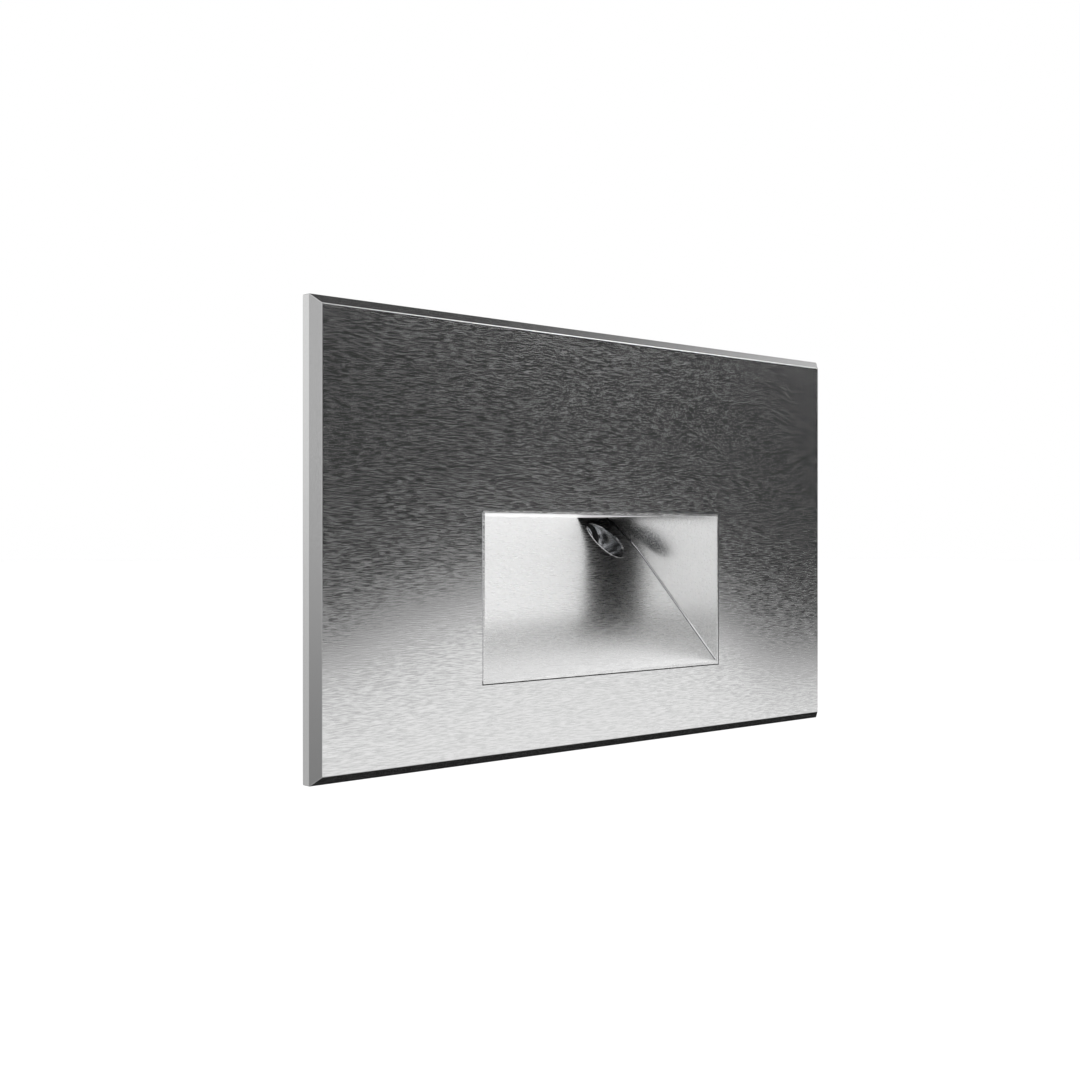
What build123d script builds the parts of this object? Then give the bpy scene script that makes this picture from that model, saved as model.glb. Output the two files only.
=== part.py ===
from build123d import *

import math
import os

# Recessed step light for a single-gang wall box: a screwless bevelled faceplate, a bent sheet hopper
# with an off-centre light bore in its sloped floor, and a die-cast housing behind them.
# Millimetres. X runs along the plate, Y runs into the wall, Z is up. The origin is on the wall's
# surface, behind the centre of the plate.

# Faceplate
PLATE_WIDTH = 127.0
PLATE_HEIGHT = 75.0
PLATE_THICKNESS = 3.1
PLATE_SKIN = 1.4            # metal in front of the pocket
PLATE_RIM = 3.0             # solid border round the pocket
PLATE_BEVEL = 1.45          # 45 degree bevel on the four front edges
EDGE_ROUND = 0.18           # broken edge on the bevel's corners
POCKET_CORNER = 2.0

# Window in the faceplate
WINDOW_WIDTH = 60.4
WINDOW_HEIGHT = 29.45
WINDOW_DROP = 9.575         # centre of the window below the centre of the plate
WINDOW_GAP = 0.2            # shadow gap round the hopper

# Hopper
SHEET = 0.35                # sheet thickness
HOPPER_DEPTH = 30.2         # from the front of the plate to the crease between ceiling and floor
FLOOR_BEND_DEPTH = 19.0     # from the front of the plate, where the straight floor starts to curve
FLOOR_BEND_RISE = 19.5      # rise of the straight floor over that depth
SILL_OVERRUN = 0.7          # the section runs this far past the plate's front before it is cut off
FLANGE_MARGIN = 0.6         # the closing flange stops this far inside the housing's outline
SHADE_LEFT = 21.0           # left edge of the opening in the ceiling over the light bore
SHADE_FRONT = 0.8           # front edge of that opening
SHADE_LAP = 2.0             # the glare shade laps the ceiling by this on its left
SHADE_THICKNESS = 0.5

# Light bore
BORE_RADIUS = 3.45
BORE_X = 22.8
BORE_Z = -0.1

# Mounting strap
STRAP_WIDTH = 112.0
STRAP_HEIGHT = 62.0
STRAP_THICKNESS = 1.1
STRAP_CORNER = 4.0
STRAP_WINDOW_GAP = 0.6
BOX_SCREW_SPACING = 83.3    # single-gang box
BOX_SLOT_LENGTH = 9.0
BOX_SLOT_WIDTH = 4.2
BOX_SLOT_BEVEL = 0.6
MAGNET_WIDTH = 5.0
MAGNET_LENGTH = 12.0
MAGNET_SPACING_X = 103.0
MAGNET_SPACING_Z = 42.0
MAGNET_CLEARANCE = 0.05

# Wall gasket
GASKET_THICKNESS = 0.5
GASKET_OPENING_WIDTH = 95.0
GASKET_OPENING_HEIGHT = 57.0
GASKET_INSET = 0.5

# Rear housing
HOUSING_WIDTH = 69.0
HOUSING_TOP = 24.4
HOUSING_BOTTOM = -28.2
HOUSING_DEPTH = 36.0        # from the wall's surface to the outside of the back wall
HOUSING_WALL = 2.0
HOUSING_CORNER = 4.5
HOUSING_DRAFT = 1.0         # degrees
HOUSING_BACK_BEVEL = 1.5
SEAL_THICKNESS = 0.6
FIN_COUNT = 11
FIN_PITCH = 5.8
FIN_THICKNESS = 1.5
FIN_HEIGHT = 2.9
FIN_TOP = 3.0
FIN_BOTTOM = -24.5
LUG_SPACING_X = 76.8
LUG_TOP = 17.0
LUG_BOTTOM = -20.0
LUG_RADIUS = 3.2
LUG_LENGTH = 9.5
LUG_WEB = 4.0

# Screws
HOUSING_SCREW_RADIUS = 1.5
HOUSING_SCREW_HEAD_RADIUS = 2.55
HOUSING_SCREW_LENGTH = 8.0
SMALL_SCREW_RADIUS = 1.0
SMALL_SCREW_HEAD_RADIUS = 1.8
SMALL_SCREW_HEAD_HEIGHT = 1.3
THREAD_CLEARANCE = 0.05
SCREW_HOLE_CLEARANCE = 0.2

# Light module, measured along the bore
LENS_FACE = 26.9            # bezel's front, from the wall's surface
BARREL_RADIUS = 5.0
BARREL_STEP = 26.3          # where the bore opens into the lens seat
BARREL_SEAT_RADIUS = 4.2
BARREL_FOOT = 1.5
BARREL_FOOT_WIDTH = 4.2
MODULE_SCREW_SPACING = 13.8
BOARD_FACE = 32.0           # front of the circuit board that carries the emitter
BOARD_RADIUS = 9.0          # to the middle of each side
BOARD_SIDES = 8
BOARD_THICKNESS = 1.0
PAD_WIDTH = 14.0
PAD_HEIGHT = 10.0
PAD_THICKNESS = 0.3
BEZEL_RADIUS = 3.2
BEZEL_WIDTH = 0.6
BEZEL_THICKNESS = 0.4
HOLDER_CLEARANCE = 0.2
LENS_LENGTH = 3.6
LENS_EDGE = 0.9             # thickness of the lens's flange
LENS_BODY_RADIUS = 2.3
LENS_TAIL_RADIUS = 1.6
LENS_HOLLOW_WALL = 0.5
LENS_CLEARANCE = 0.05
EMITTER_SIZE = 3.0
EMITTER_HEIGHT = 0.8
EMITTER_DOME = 0.5
EMITTER_DOME_RADIUS = 1.2
CONNECTOR_WIDTH = 2.8
CONNECTOR_LENGTH = 5.0
CONNECTOR_HEIGHT = 2.2
CONNECTOR_WAY_WIDTH = 1.6
CONNECTOR_WAY_LENGTH = 1.4
CONNECTOR_FLOOR = 0.8

# Driver
CASE_LEFT = -31.0
CASE_WIDTH = 43.0
CASE_BOTTOM = 7.2
CASE_HEIGHT = 12.6
CASE_FRONT = 3.5
CASE_DEPTH = 28.0
CASE_WALL = 1.2
CASE_CORNER = 2.4
LID_THICKNESS = 1.2
LID_LIP = 1.5
LID_LIP_WALL = 0.7
LID_CLEARANCE = 0.15
LEDGE_WIDTH = 13.6
LEDGE_FRONT = 6.0
LEDGE_DEPTH = 16.0
DRIVER_BOARD_CLEARANCE = 0.5
DRIVER_BOARD_THICKNESS = 1.6
STANDOFF_HEIGHT = 1.8
STANDOFF_WIDTH = 3.6
POST_WIDTH = 4.0            # posts behind the case
CASE_SCREW_SPACING = 21.5
CASE_SCREW_DROP = 0.05      # below the middle between the driver's board and the lid's lip
FRONT_ROW = 13.6            # depth of the coil and capacitors
BACK_ROW = 23.9             # depth of the chips and the connector
INDUCTOR_X = -20.3
INDUCTOR_WIDTH = 8.0
INDUCTOR_CORNER = 1.6
INDUCTOR_HEIGHT = 5.0
INDUCTOR_CAP = 0.5
CAPACITOR_X = -6.1
CAPACITOR_RADIUS = 3.15
CAPACITOR_HEADROOM = 1.8    # between the capacitors and the lid
CAPACITOR_PITCH = 8.0
RECTIFIER_X = -22.4
RECTIFIER_WIDTH = 8.0
RECTIFIER_DEPTH = 6.2
RECTIFIER_HEIGHT = 2.6
CONTROLLER_X = -10.4
CONTROLLER_WIDTH = 4.9
CONTROLLER_DEPTH = 3.9
CONTROLLER_HEIGHT = 1.6
OUTPUT_X = 3.4
OUTPUT_WIDTH = 7.4
OUTPUT_DEPTH = 5.8
OUTPUT_HEIGHT = 5.6
OUTPUT_WALL = 0.9
OUTPUT_FLOOR = 1.4

# Terminal block
POLE_COUNT = 2
POLE_PITCH = 5.4
BLOCK_DEPTH = 10.0
BLOCK_HEIGHT = 9.5
BLOCK_GAP = 1.4
ENTRY_WIDTH = 3.0
ENTRY_DEPTH = 5.0
SCREW_WELL_RADIUS = 2.1
TERMINAL_SCREW_RADIUS = 1.25
TERMINAL_SCREW_HEAD_RADIUS = 1.9
TERMINAL_SCREW_HEAD_HEIGHT = 1.2
TERMINAL_SCREW_LENGTH = 4.0
TERMINAL_SCREW_SLOT = 0.6
SCREW_WELL_DEPTH = 2.4
BLOCK_BEVEL = 0.8
BLOCK_BACK_WALL = 2.0
POLE_GROOVE_WIDTH = 0.6
POLE_GROOVE_DEPTH = 0.5

# Supply entry and earth
INLET_X = 22.8
INLET_Z = 15.7
INLET_RADIUS = 3.2
GROMMET_NECK_RADIUS = 4.4
GROMMET_LIP_RADIUS = 5.6
GROMMET_LIP = 1.4
EARTH_X = -9.5
EARTH_Z = 14.5
EARTH_SCREW_RADIUS = 1.75
EARTH_HEAD_WIDTH = 7.0
EARTH_HEAD_HEIGHT = 2.4
EARTH_WASHER_RADIUS = 4.6
EARTH_WASHER_THICKNESS = 0.8

# Derived places
PLATE_FRONT = -PLATE_THICKNESS
POCKET_FLOOR = PLATE_FRONT + PLATE_SKIN
STRAP_BACK = -GASKET_THICKNESS
STRAP_FRONT = STRAP_BACK - STRAP_THICKNESS
FLANGE_BACK = STRAP_BACK + SHEET
RIM = FLANGE_BACK + SEAL_THICKNESS
HOUSING_INSIDE = HOUSING_DEPTH - HOUSING_WALL
HOUSING_HEIGHT = HOUSING_TOP - HOUSING_BOTTOM
HOUSING_MIDDLE = (HOUSING_TOP + HOUSING_BOTTOM) / 2
HOPPER_TOP = WINDOW_HEIGHT / 2 - WINDOW_DROP - WINDOW_GAP - SHEET
HOPPER_WIDTH = WINDOW_WIDTH - 2 * (WINDOW_GAP + SHEET)
FLOOR_FRONT_RISE = SHEET * math.hypot(FLOOR_BEND_DEPTH, FLOOR_BEND_RISE) / FLOOR_BEND_DEPTH
HOPPER_SILL = -WINDOW_HEIGHT / 2 - WINDOW_DROP + WINDOW_GAP + FLOOR_FRONT_RISE
HOPPER_CREASE = PLATE_FRONT + HOPPER_DEPTH
PAD_BACK = BOARD_FACE + BOARD_THICKNESS + PAD_THICKNESS
LENS_RADIUS = BEZEL_RADIUS - BEZEL_WIDTH - LENS_CLEARANCE
LENS_FRONT = LENS_FACE + BEZEL_THICKNESS / 2
LENS_SHOULDER = LENS_FRONT + LENS_EDGE
LENS_BACK = LENS_FRONT + LENS_LENGTH
HOLDER_FRONT = LENS_FACE + BEZEL_THICKNESS
CASE_MIDDLE = CASE_LEFT + CASE_WIDTH / 2
CASE_TOP = CASE_BOTTOM + CASE_HEIGHT
CASE_BACK = CASE_FRONT + CASE_DEPTH
DRIVER_BOARD_TOP = CASE_BOTTOM + CASE_WALL + STANDOFF_HEIGHT + DRIVER_BOARD_THICKNESS
CASE_SCREW_Z = (DRIVER_BOARD_TOP + CASE_TOP - LID_LIP) / 2 - CASE_SCREW_DROP
BLOCK_WIDTH = POLE_COUNT * POLE_PITCH
BLOCK_LEFT = CASE_LEFT + CASE_WIDTH + BLOCK_GAP
BLOCK_FRONT = LEDGE_FRONT + (LEDGE_DEPTH - BLOCK_DEPTH) / 2

LUG_PLACES = [(-LUG_SPACING_X / 2, LUG_TOP), (LUG_SPACING_X / 2, LUG_BOTTOM)]
MAGNET_PLACES = [
    (side * MAGNET_SPACING_X / 2, way * MAGNET_SPACING_Z / 2) for side in (-1, 1) for way in (-1, 1)
]
BOX_SLOT_PLACES = [(side * BOX_SCREW_SPACING / 2, 0.0) for side in (-1, 1)]
MODULE_SCREW_PLACES = [(BORE_X, BORE_Z + way * MODULE_SCREW_SPACING / 2) for way in (-1, 1)]
CASE_SCREW_PLACES = [
    (CASE_MIDDLE + side * CASE_SCREW_SPACING / 2, CASE_SCREW_Z) for side in (-1, 1)
]
POLE_CENTRES = [BLOCK_LEFT + (index + 0.5) * POLE_PITCH for index in range(POLE_COUNT)]


def wall_plane(y):
    """A drawing plane parallel to the wall, with X to the right and Z up, at depth y."""
    return Plane(origin=(0, y, 0), x_dir=(1, 0, 0), z_dir=(0, -1, 0))


def slab(outline, front, back):
    """An outline in X and Z with thickness from front to back."""
    return extrude(wall_plane(back) * outline, amount=back - front)


def rod(radius, front, back, place):
    """A round bar along Y, at a place given as X and Z."""
    return slab(Pos(*place) * Circle(radius), front, back)


def upright(outline, bottom, top):
    """An outline in X and Y with height from bottom to top."""
    return extrude(Pos(0, 0, bottom) * outline, amount=top - bottom)


def turned(points, place):
    """A shape turned about a line along Y, at a place given as X and Z, from radius and depth pairs."""
    x, z = place
    plane = Plane(origin=(x, 0, z), x_dir=(1, 0, 0), z_dir=(0, 0, 1))
    section = make_face(Polyline(*points, close=True))
    return revolve(plane * section, axis=Axis((x, 0, z), (0, 1, 0)))


def group(pieces):
    """Separate solids that share one node."""
    return Compound(children=list(pieces))


def window_outline(grow=0.0):
    """The window's outline, made larger all round by grow."""
    return Pos(0, -WINDOW_DROP) * Rectangle(WINDOW_WIDTH + 2 * grow, WINDOW_HEIGHT + 2 * grow)


def housing_outline(shrink=0.0):
    """The housing's outline at its rim, made smaller all round by shrink."""
    return Pos(0, HOUSING_MIDDLE) * RectangleRounded(
        HOUSING_WIDTH - 2 * shrink, HOUSING_HEIGHT - 2 * shrink, HOUSING_CORNER - shrink
    )


def faceplate():
    """Bevelled plate with a pocket behind it and the window through it."""
    plate = slab(Rectangle(PLATE_WIDTH, PLATE_HEIGHT), PLATE_FRONT, 0)
    plate = chamfer(plate.faces().sort_by(Axis.Y)[0].edges(), PLATE_BEVEL)
    outer_edges = plate.edges().filter_by(lambda edge: edge.center().Y < -EDGE_ROUND)
    plate = fillet(outer_edges, EDGE_ROUND)
    pocket = RectangleRounded(PLATE_WIDTH - 2 * PLATE_RIM, PLATE_HEIGHT - 2 * PLATE_RIM, POCKET_CORNER)
    plate -= slab(pocket, POCKET_FLOOR, 0)
    return plate - slab(window_outline(), PLATE_FRONT, 0)


def mounting_strap():
    """Steel plate in the faceplate's pocket, screwed to the wall box through two slots."""
    strap = slab(RectangleRounded(STRAP_WIDTH, STRAP_HEIGHT, STRAP_CORNER), STRAP_FRONT, STRAP_BACK)
    strap -= slab(window_outline(STRAP_WINDOW_GAP - WINDOW_GAP), STRAP_FRONT, STRAP_BACK)
    for place in BOX_SLOT_PLACES:
        strap -= slab(Pos(*place) * SlotOverall(BOX_SLOT_LENGTH, BOX_SLOT_WIDTH), STRAP_FRONT, STRAP_BACK)
    strap = chamfer(slot_front_edges(strap), BOX_SLOT_BEVEL)
    for place in MAGNET_PLACES:
        strap -= slab(Pos(*place) * magnet_outline(MAGNET_CLEARANCE), STRAP_FRONT, STRAP_BACK)
    for place in LUG_PLACES:
        strap -= rod(HOUSING_SCREW_RADIUS + SCREW_HOLE_CLEARANCE, STRAP_FRONT, STRAP_BACK, place)
        strap -= screw_countersink(place, THREAD_CLEARANCE)
    return strap


def slot_front_edges(strap):
    """The edges round the front of the box screw slots."""
    front = strap.edges().group_by(Axis.Y)[0]
    inner = BOX_SCREW_SPACING / 2 - BOX_SLOT_LENGTH
    outer = BOX_SCREW_SPACING / 2 + BOX_SLOT_LENGTH
    return front.filter_by(
        lambda edge: inner < abs(edge.center().X) < outer and abs(edge.center().Z) < BOX_SLOT_WIDTH
    )


def screw_countersink(place, grow=0.0):
    """The cone under a housing screw's head, grown by a clearance."""
    rise = HOUSING_SCREW_HEAD_RADIUS - HOUSING_SCREW_RADIUS
    return turned(
        [
            (0, STRAP_FRONT),
            (HOUSING_SCREW_HEAD_RADIUS + grow, STRAP_FRONT),
            (HOUSING_SCREW_RADIUS + grow, STRAP_FRONT + rise),
            (0, STRAP_FRONT + rise),
        ],
        place,
    )


def magnet_outline(grow=0.0):
    """A bar magnet's outline, made larger all round by grow."""
    return Rectangle(MAGNET_WIDTH + 2 * grow, MAGNET_LENGTH + 2 * grow)


def plate_magnets():
    """Bar magnets set in the strap, which the floor of the faceplate's pocket lies on."""
    return group(slab(Pos(*place) * magnet_outline(), POCKET_FLOOR, STRAP_BACK) for place in MAGNET_PLACES)


def wall_gasket():
    """Foam ring between the strap and the wall, outside the box's opening."""
    outside = RectangleRounded(
        STRAP_WIDTH - 2 * GASKET_INSET, STRAP_HEIGHT - 2 * GASKET_INSET, STRAP_CORNER - GASKET_INSET
    )
    inside = RectangleRounded(GASKET_OPENING_WIDTH, GASKET_OPENING_HEIGHT, STRAP_CORNER)
    return slab(outside - inside, STRAP_BACK, 0)


def hopper_section(grow=0.0):
    """The hopper's section in Y and Z, open to the front, made larger by the sheet's thickness."""
    reach = PLATE_FRONT + FLOOR_BEND_DEPTH
    slope = Vector(FLOOR_BEND_DEPTH, FLOOR_BEND_RISE).normalized()
    normal = Vector(slope.Y, -slope.X)
    sill = Vector(PLATE_FRONT, HOPPER_SILL) - slope * SILL_OVERRUN + normal * grow
    bend = Vector(reach, HOPPER_SILL + FLOOR_BEND_RISE) + normal * grow
    crease = Vector(HOPPER_CREASE + 2 * grow, HOPPER_TOP + grow)
    front = sill.X
    lower = Line(sill, bend)
    curve = TangentArc(bend, crease, tangent=slope)
    upper = Line(crease, (front, crease.Y))
    closing = Line((front, crease.Y), sill)
    return make_face([lower, curve, upper, closing])


def hopper_body(width, grow=0.0):
    """The hopper's section carried across its width and cut off level with the plate's front."""
    side = Plane(origin=(-width / 2, 0, 0), x_dir=(0, 1, 0), z_dir=(1, 0, 0))
    body = extrude(side * hopper_section(grow), amount=width)
    in_front = slab(window_outline(SHEET), PLATE_FRONT - 2 * SILL_OVERRUN, PLATE_FRONT)
    return body - in_front


def shade_opening(left, front, bottom, top):
    """A block over the light bore, from the left and front given, to the hopper's right wall and crease."""
    right = HOPPER_WIDTH / 2
    middle = Pos((left + right) / 2, (front + HOPPER_CREASE) / 2)
    return upright(middle * Rectangle(right - left, HOPPER_CREASE - front), bottom, top)


def optic_insert():
    """Bent sheet hopper, its light bore, the opening for the glare shade and the flange round it."""
    flange = slab(housing_outline(FLANGE_MARGIN), STRAP_BACK, FLANGE_BACK)
    insert = hopper_body(HOPPER_WIDTH + 2 * SHEET, SHEET) + flange
    insert -= hopper_body(HOPPER_WIDTH)
    insert -= shade_opening(SHADE_LEFT, SHADE_FRONT, HOPPER_TOP, HOPPER_TOP + SHEET)
    return insert - rod(BORE_RADIUS, PLATE_FRONT, HOUSING_INSIDE, (BORE_X, BORE_Z))


def glare_shade():
    """Black plate that lies on the hopper's ceiling and closes the opening over the light bore."""
    bottom = HOPPER_TOP + SHEET
    return shade_opening(SHADE_LEFT - SHADE_LAP, FLANGE_BACK, bottom, bottom + SHADE_THICKNESS)


def housing_seal():
    """Flat seal between the insert's flange and the housing's rim."""
    return slab(housing_outline() - housing_outline(HOUSING_WALL), FLANGE_BACK, RIM)


def drafted_block(shrink, back):
    """A block from the housing's rim to a depth, narrowing by the casting's draft."""
    outline = Pos(0, HOUSING_MIDDLE) * Rectangle(HOUSING_WIDTH - 2 * shrink, HOUSING_HEIGHT - 2 * shrink)
    block = slab(outline, RIM, back)
    sides = block.faces().filter_by(lambda face: abs(face.normal_at().Y) < 0.5)
    block = draft(sides, wall_plane(RIM), -HOUSING_DRAFT)
    corners = block.edges().filter_by(lambda edge: abs(edge.tangent_at(0.5).Y) > 0.5)
    return fillet(corners, HOUSING_CORNER - shrink)


def screw_lug(place):
    """A screw boss beside the housing, joined to it by a web."""
    x, z = place
    side = math.copysign(1, x)
    inner = HOUSING_WIDTH / 2 - HOUSING_WALL / 2
    web_width = abs(x) - inner
    web = Pos(side * (inner + web_width / 2), z) * Rectangle(web_width, LUG_WEB)
    back = STRAP_BACK + LUG_LENGTH
    return rod(LUG_RADIUS, STRAP_BACK, back, place) + slab(web, RIM, back)


def rear_housing():
    """Die-cast shell with cooling fins, screw lugs, a pedestal for the light and two holes."""
    outside = drafted_block(0, HOUSING_DEPTH)
    outside = chamfer(outside.faces().sort_by(Axis.Y)[-1].edges(), HOUSING_BACK_BEVEL)
    for index in range(FIN_COUNT):
        x = (index - (FIN_COUNT - 1) / 2) * FIN_PITCH
        fin = Pos(x, (FIN_TOP + FIN_BOTTOM) / 2) * Rectangle(FIN_THICKNESS, FIN_TOP - FIN_BOTTOM)
        outside += slab(fin, HOUSING_INSIDE, HOUSING_DEPTH + FIN_HEIGHT)
    for place in LUG_PLACES:
        outside += screw_lug(place)
    housing = outside - drafted_block(HOUSING_WALL, HOUSING_INSIDE)
    pedestal = Pos(BORE_X, BORE_Z) * Rectangle(2 * BOARD_RADIUS, 2 * BOARD_RADIUS)
    housing += slab(pedestal, PAD_BACK, HOUSING_INSIDE)
    for place in CASE_SCREW_PLACES:
        housing += slab(Pos(*place) * Rectangle(POST_WIDTH, POST_WIDTH), CASE_BACK, HOUSING_INSIDE)
    earth_place = (EARTH_X, EARTH_Z)
    housing += rod(EARTH_WASHER_RADIUS, HOUSING_INSIDE - HOUSING_WALL, HOUSING_INSIDE, earth_place)
    for place in LUG_PLACES:
        depth = STRAP_FRONT + HOUSING_SCREW_LENGTH
        housing -= rod(HOUSING_SCREW_RADIUS + THREAD_CLEARANCE, STRAP_BACK, depth, place)
    for place in MODULE_SCREW_PLACES + CASE_SCREW_PLACES:
        depth = HOUSING_DEPTH - HOUSING_WALL / 2
        housing -= rod(SMALL_SCREW_RADIUS + THREAD_CLEARANCE, CASE_BACK, depth, place)
    earth_hole = EARTH_SCREW_RADIUS + THREAD_CLEARANCE
    housing -= rod(earth_hole, HOUSING_INSIDE - HOUSING_WALL, HOUSING_DEPTH, earth_place)
    return housing - rod(GROMMET_NECK_RADIUS, HOUSING_INSIDE, HOUSING_DEPTH, (INLET_X, INLET_Z))


def housing_screws():
    """Flat-head screws through the strap into the housing's lugs."""
    under_head = STRAP_FRONT + HOUSING_SCREW_HEAD_RADIUS - HOUSING_SCREW_RADIUS
    tip = STRAP_FRONT + HOUSING_SCREW_LENGTH
    profile = [
        (0, STRAP_FRONT),
        (HOUSING_SCREW_HEAD_RADIUS, STRAP_FRONT),
        (HOUSING_SCREW_RADIUS, under_head),
        (HOUSING_SCREW_RADIUS, tip),
        (0, tip),
    ]
    return group(turned(profile, place) for place in LUG_PLACES)


def optic_barrel():
    """Metal tube that carries the bore from the hopper's floor to the circuit board."""
    place = (BORE_X, BORE_Z)
    foot_length = MODULE_SCREW_SPACING + BARREL_FOOT_WIDTH
    foot = Pos(*place) * Rectangle(BARREL_FOOT_WIDTH, foot_length)
    barrel = rod(BARREL_RADIUS, 0, BOARD_FACE, place) + slab(foot, BOARD_FACE - BARREL_FOOT, BOARD_FACE)
    barrel -= hopper_body(HOPPER_WIDTH + 2 * SHEET, SHEET)
    barrel -= rod(BORE_RADIUS, 0, BOARD_FACE, place)
    barrel -= rod(BARREL_SEAT_RADIUS, BARREL_STEP, BOARD_FACE, place)
    for screw in MODULE_SCREW_PLACES:
        barrel -= rod(SMALL_SCREW_RADIUS + SCREW_HOLE_CLEARANCE, BOARD_FACE - BARREL_FOOT, BOARD_FACE, screw)
    return barrel.solids().sort_by(SortBy.VOLUME)[-1]


def lens_holder():
    """Dark tube on the board, with a ledge that the lens's flange rests on."""
    radius = BARREL_SEAT_RADIUS - HOLDER_CLEARANCE
    inside = LENS_RADIUS + LENS_CLEARANCE
    ledge = LENS_BODY_RADIUS + LENS_CLEARANCE
    return turned(
        [
            (inside, HOLDER_FRONT),
            (radius, HOLDER_FRONT),
            (radius, BOARD_FACE),
            (ledge, BOARD_FACE),
            (ledge, LENS_SHOULDER),
            (inside, LENS_SHOULDER),
        ],
        (BORE_X, BORE_Z),
    )


def lens_seal():
    """Flat ring between the barrel's step and the lens holder."""
    inside = BEZEL_RADIUS + LENS_CLEARANCE
    outside = BARREL_SEAT_RADIUS - LENS_CLEARANCE
    section = [
        (inside, BARREL_STEP),
        (outside, BARREL_STEP),
        (outside, HOLDER_FRONT),
        (inside, HOLDER_FRONT),
    ]
    return turned(section, (BORE_X, BORE_Z))


def lens_bezel():
    """Bright ring in front of the lens holder."""
    inside = BEZEL_RADIUS - BEZEL_WIDTH
    section = [
        (inside, LENS_FACE),
        (BEZEL_RADIUS, LENS_FACE),
        (BEZEL_RADIUS, HOLDER_FRONT),
        (inside, HOLDER_FRONT),
    ]
    return turned(section, (BORE_X, BORE_Z))


def lens():
    """Collimating optic: a flat flanged front, a tapering body and a hollow over the emitter."""
    hollow = LENS_TAIL_RADIUS - LENS_HOLLOW_WALL
    return turned(
        [
            (0, LENS_FRONT),
            (LENS_RADIUS, LENS_FRONT),
            (LENS_RADIUS, LENS_SHOULDER),
            (LENS_BODY_RADIUS, LENS_SHOULDER),
            (LENS_TAIL_RADIUS, LENS_BACK),
            (hollow, LENS_BACK),
            (hollow, LENS_BACK - hollow),
            (0, LENS_BACK - hollow),
        ],
        (BORE_X, BORE_Z),
    )


def led_package():
    """Square emitter with a domed top, on the front of its board."""
    base = BOARD_FACE - EMITTER_HEIGHT
    body = slab(Pos(BORE_X, BORE_Z) * Rectangle(EMITTER_SIZE, EMITTER_SIZE), base, BOARD_FACE)
    rim = EMITTER_DOME_RADIUS
    ball_radius = (rim**2 + EMITTER_DOME**2) / (2 * EMITTER_DOME)
    ball = Pos(BORE_X, base - EMITTER_DOME + ball_radius, BORE_Z) * Sphere(ball_radius)
    dome = ball & slab(Pos(BORE_X, BORE_Z) * Circle(rim), base - EMITTER_DOME, base + EMITTER_HEIGHT / 2)
    return body + dome


def led_board():
    """Eight-sided metal-cored board under the emitter."""
    back = BOARD_FACE + BOARD_THICKNESS
    outline = RegularPolygon(BOARD_RADIUS, BOARD_SIDES, major_radius=False, rotation=180 / BOARD_SIDES)
    board = slab(Pos(BORE_X, BORE_Z) * outline, BOARD_FACE, back)
    for place in MODULE_SCREW_PLACES:
        board -= rod(SMALL_SCREW_RADIUS + SCREW_HOLE_CLEARANCE, BOARD_FACE, back, place)
    return board


def led_connector():
    """Two-way lead connector beside the barrel."""
    place = Pos(BORE_X - (BARREL_RADIUS + BOARD_RADIUS) / 2, BORE_Z)
    front = BOARD_FACE - CONNECTOR_HEIGHT
    shell = slab(place * Rectangle(CONNECTOR_WIDTH, CONNECTOR_LENGTH), front, BOARD_FACE)
    way = Rectangle(CONNECTOR_WAY_WIDTH, CONNECTOR_WAY_LENGTH)
    for side in (-1, 1):
        middle = Pos(0, side * CONNECTOR_LENGTH / 4)
        shell -= slab(place * middle * way, front, BOARD_FACE - CONNECTOR_FLOOR)
    return shell


def thermal_pad():
    """Soft pad between the board and the housing's pedestal, clear of the screws."""
    outline = Pos(BORE_X, BORE_Z) * Rectangle(PAD_WIDTH, PAD_HEIGHT)
    return slab(outline, BOARD_FACE + BOARD_THICKNESS, PAD_BACK)


def small_screw(place, seat, tip):
    """A cheese-head screw whose head rests at the depth called seat."""
    crown = seat - SMALL_SCREW_HEAD_HEIGHT
    return turned(
        [
            (0, crown),
            (SMALL_SCREW_HEAD_RADIUS, crown),
            (SMALL_SCREW_HEAD_RADIUS, seat),
            (SMALL_SCREW_RADIUS, seat),
            (SMALL_SCREW_RADIUS, tip),
            (0, tip),
        ],
        place,
    )


def board_screws():
    """Screws that hold the barrel and the board to the housing."""
    seat = BOARD_FACE - BARREL_FOOT
    tip = HOUSING_DEPTH - HOUSING_WALL / 2
    return group(small_screw(place, seat, tip) for place in MODULE_SCREW_PLACES)


def case_outline(shrink=0.0):
    """The driver case's outline in X and Y, made smaller all round by shrink."""
    middle = Pos(CASE_MIDDLE, CASE_FRONT + CASE_DEPTH / 2)
    corner = max(CASE_CORNER - shrink, LID_CLEARANCE)
    return middle * RectangleRounded(CASE_WIDTH - 2 * shrink, CASE_DEPTH - 2 * shrink, corner)


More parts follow.
